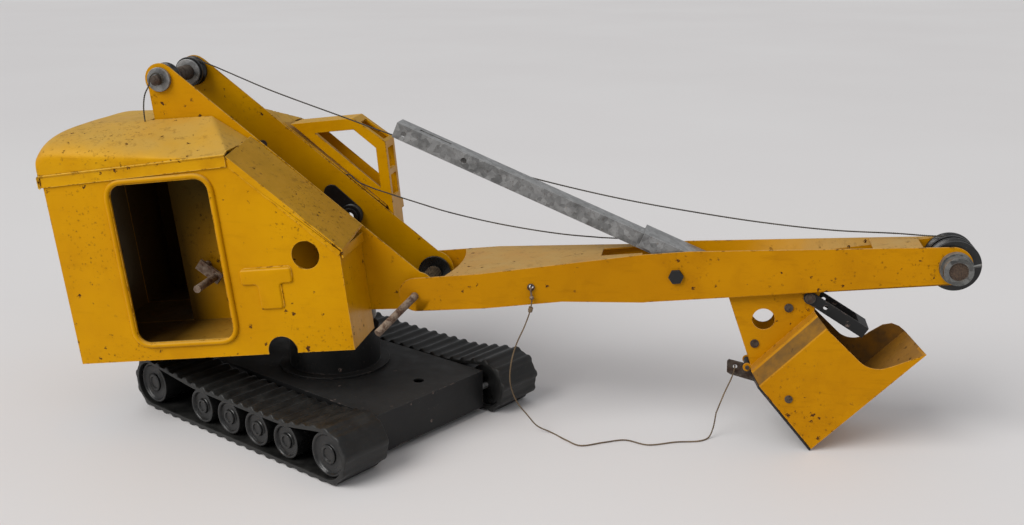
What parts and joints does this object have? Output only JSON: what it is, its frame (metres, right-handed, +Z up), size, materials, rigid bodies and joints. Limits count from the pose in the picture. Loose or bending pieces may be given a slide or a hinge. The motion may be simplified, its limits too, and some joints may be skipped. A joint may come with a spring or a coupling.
{
  "type": "toy excavator",
  "caption": "Pressed steel toy cable excavator: slewing house on rubber crawlers, long boom, sliding dipper stick and dump bucket.",
  "frame": {"origin": "on the ground, under the middle of the toy's bounding box without its cords", "axes": "+Z up, +X towards the boom tip, +Y to the left of the house; the crawler chassis is turned 30 degrees clockwise seen from above, and the house leans back 6.5 degrees"},
  "size_m": [0.7123, 0.3222, 0.29],
  "materials": {
    "yellow": "worn warm yellow paint",
    "black": "chipped black paint",
    "rubber": "dusty black rubber",
    "plastic": "dull black plastic",
    "steel": "mottled zinc plate",
    "rust": "lightly rusted steel",
    "string": "twisted string"
  },
  "bodies": {
    "chassis": {"chassis_frame": "black", "turntable_drum": "black", "king_pin": "steel", "king_nut": "steel", "wheel_axles": "steel", "right_belt": "rubber", "left_belt": "rubber"},
    "house": {"floor_plate": "yellow", "right_side_panel": "yellow", "left_side_panel": "yellow", "rear_panel": "yellow", "roof_panel": "yellow", "right_hood": "yellow", "left_hood": "yellow", "cab_frame": "yellow", "main_channel": "yellow", "gantry_axle": "rust", "gantry_washers": "steel", "idler_axle": "plastic", "tail_cord": "string"},
    "gantry pulley right": {"right_gantry_pulley": "plastic"},
    "gantry pulley left": {"left_gantry_pulley": "plastic"},
    "idler": {"idler_pulley": "plastic"},
    "hoist": {"hoist_drum": "rust", "hoist_crank": "rust"},
    "boom": {"right_boom_plate": "yellow", "left_boom_plate": "yellow", "boom_rear_web": "yellow", "boom_front_web": "yellow", "foot_spacers": "steel", "tip_axle": "steel", "saddle_bolt": "black", "cord_hook": "rust", "hoist_cord": "string", "crowd_cord": "string", "dump_cord": "string"},
    "winch": {"winch_rod": "rust", "winch_spool": "plastic"},
    "sheave right": {"right_sheave": "plastic"},
    "sheave left": {"left_sheave": "plastic"},
    "saddle": {"saddle_sleeve": "steel"},
    "dipper": {"dipper_stick": "steel", "bucket_bracket": "yellow", "bracket_rivets": "rust", "bucket_shell": "yellow"},
    "door": {"bucket_door": "black", "dump_lever": "rust"},
    "bail": {"bail": "black"},
    "right front wheel": {"right_front_wheel": "plastic"},
    "right rear wheel": {"right_rear_wheel": "plastic"},
    "right roller 1": {"right_roller_1": "plastic"},
    "right roller 2": {"right_roller_2": "plastic"},
    "right roller 3": {"right_roller_3": "plastic"},
    "right roller 4": {"right_roller_4": "plastic"},
    "left front wheel": {"left_front_wheel": "plastic"},
    "left rear wheel": {"left_rear_wheel": "plastic"},
    "left roller 1": {"left_roller_1": "plastic"},
    "left roller 2": {"left_roller_2": "plastic"},
    "left roller 3": {"left_roller_3": "plastic"},
    "left roller 4": {"left_roller_4": "plastic"}
  },
  "joints": [
    {"name": "slew", "type": "hinge", "parent": "chassis", "child": "house", "pos_m": [-0.1535, 0, 0.07], "axis": [0, 0, 1], "continuous": true},
    {"name": "boom_lift", "type": "hinge", "parent": "house", "child": "boom", "pos_m": [-0.07111, 0, 0.11256], "axis": [0, -1, 0], "range_deg": [0, 55], "deforming": ["hoist_cord", "crowd_cord"]},
    {"name": "saddle_tilt", "type": "hinge", "parent": "boom", "child": "saddle", "pos_m": [0.13109, 0, 0.13107], "axis": [0, 1, 0], "range_deg": [-5, 40]},
    {"name": "crowd", "type": "slide", "parent": "saddle", "child": "dipper", "axis": [0.9219, 0, -0.3875], "range_m": [-0.008, 0.18], "deforming": ["dump_cord"]},
    {"name": "bucket_door_open", "type": "hinge", "parent": "dipper", "child": "door", "pos_m": [0.18896, 0, 0.05695], "axis": [0, 1, 0], "range_deg": [0, 65]},
    {"name": "bail_swing", "type": "hinge", "parent": "dipper", "child": "bail", "pos_m": [0.23334, 0, 0.11706], "axis": [0, 1, 0], "range_deg": [-95, 0]},
    {"name": "winch_turn", "type": "hinge", "parent": "house", "child": "winch", "pos_m": [-0.07111, 0, 0.11256], "axis": [0, 1, 0], "continuous": true},
    {"name": "hoist_turn", "type": "hinge", "parent": "house", "child": "hoist", "pos_m": [-0.24696, 0, 0.12775], "axis": [0, 1, 0], "continuous": true},
    {"name": "gantry_pulley_right_spin", "type": "hinge", "parent": "house", "child": "gantry pulley right", "pos_m": [-0.2751, -0.0245, 0.27753], "axis": [0, 1, 0], "continuous": true},
    {"name": "gantry_pulley_left_spin", "type": "hinge", "parent": "house", "child": "gantry pulley left", "pos_m": [-0.2751, 0.0245, 0.27753], "axis": [0, 1, 0], "continuous": true},
    {"name": "idler_spin", "type": "hinge", "parent": "house", "child": "idler", "pos_m": [-0.1428, 0.02605, 0.15874], "axis": [0, 1, 0], "continuous": true},
    {"name": "sheave_right_spin", "type": "hinge", "parent": "boom", "child": "sheave right", "pos_m": [0.33551, -0.008, 0.14782], "axis": [0, 1, 0], "continuous": true},
    {"name": "sheave_left_spin", "type": "hinge", "parent": "boom", "child": "sheave left", "pos_m": [0.33551, 0.008, 0.14782], "axis": [0, 1, 0], "continuous": true},
    {"name": "right_front_wheel_spin", "type": "hinge", "parent": "chassis", "child": "right front wheel", "pos_m": [-0.10199, -0.13078, 0.0225], "axis": [0.5, 0.866, 0], "continuous": true},
    {"name": "right_rear_wheel_spin", "type": "hinge", "parent": "chassis", "child": "right rear wheel", "pos_m": [-0.29251, -0.02078, 0.0225], "axis": [0.5, 0.866, 0], "continuous": true},
    {"name": "right_roller_1_spin", "type": "hinge", "parent": "chassis", "child": "right roller 1", "pos_m": [-0.23449, -0.05428, 0.019], "axis": [0.5, 0.866, 0], "continuous": true},
    {"name": "right_roller_2_spin", "type": "hinge", "parent": "chassis", "child": "right roller 2", "pos_m": [-0.20418, -0.07178, 0.019], "axis": [0.5, 0.866, 0], "continuous": true},
    {"name": "right_roller_3_spin", "type": "hinge", "parent": "chassis", "child": "right roller 3", "pos_m": [-0.17387, -0.08928, 0.019], "axis": [0.5, 0.866, 0], "continuous": true},
    {"name": "right_roller_4_spin", "type": "hinge", "parent": "chassis", "child": "right roller 4", "pos_m": [-0.14356, -0.10678, 0.019], "axis": [0.5, 0.866, 0], "continuous": true},
    {"name": "left_front_wheel_spin", "type": "hinge", "parent": "chassis", "child": "left front wheel", "pos_m": [-0.01449, 0.02078, 0.0225], "axis": [0.5, 0.866, 0], "continuous": true},
    {"name": "left_rear_wheel_spin", "type": "hinge", "parent": "chassis", "child": "left rear wheel", "pos_m": [-0.20501, 0.13078, 0.0225], "axis": [0.5, 0.866, 0], "continuous": true},
    {"name": "left_roller_1_spin", "type": "hinge", "parent": "chassis", "child": "left roller 1", "pos_m": [-0.14699, 0.09728, 0.019], "axis": [0.5, 0.866, 0], "continuous": true},
    {"name": "left_roller_2_spin", "type": "hinge", "parent": "chassis", "child": "left roller 2", "pos_m": [-0.11668, 0.07978, 0.019], "axis": [0.5, 0.866, 0], "continuous": true},
    {"name": "left_roller_3_spin", "type": "hinge", "parent": "chassis", "child": "left roller 3", "pos_m": [-0.08637, 0.06228, 0.019], "axis": [0.5, 0.866, 0], "continuous": true},
    {"name": "left_roller_4_spin", "type": "hinge", "parent": "chassis", "child": "left roller 4", "pos_m": [-0.05606, 0.04478, 0.019], "axis": [0.5, 0.866, 0], "continuous": true}
  ],
  "couplings": [
    {"joint": "right_rear_wheel_spin", "follows": "right_front_wheel_spin", "ratio": 1},
    {"joint": "right_roller_1_spin", "follows": "right_front_wheel_spin", "ratio": 1.25},
    {"joint": "right_roller_2_spin", "follows": "right_front_wheel_spin", "ratio": 1.25},
    {"joint": "right_roller_3_spin", "follows": "right_front_wheel_spin", "ratio": 1.25},
    {"joint": "right_roller_4_spin", "follows": "right_front_wheel_spin", "ratio": 1.25},
    {"joint": "left_rear_wheel_spin", "follows": "left_front_wheel_spin", "ratio": 1},
    {"joint": "left_roller_1_spin", "follows": "left_front_wheel_spin", "ratio": 1.25},
    {"joint": "left_roller_2_spin", "follows": "left_front_wheel_spin", "ratio": 1.25},
    {"joint": "left_roller_3_spin", "follows": "left_front_wheel_spin", "ratio": 1.25},
    {"joint": "left_roller_4_spin", "follows": "left_front_wheel_spin", "ratio": 1.25}
  ]
}
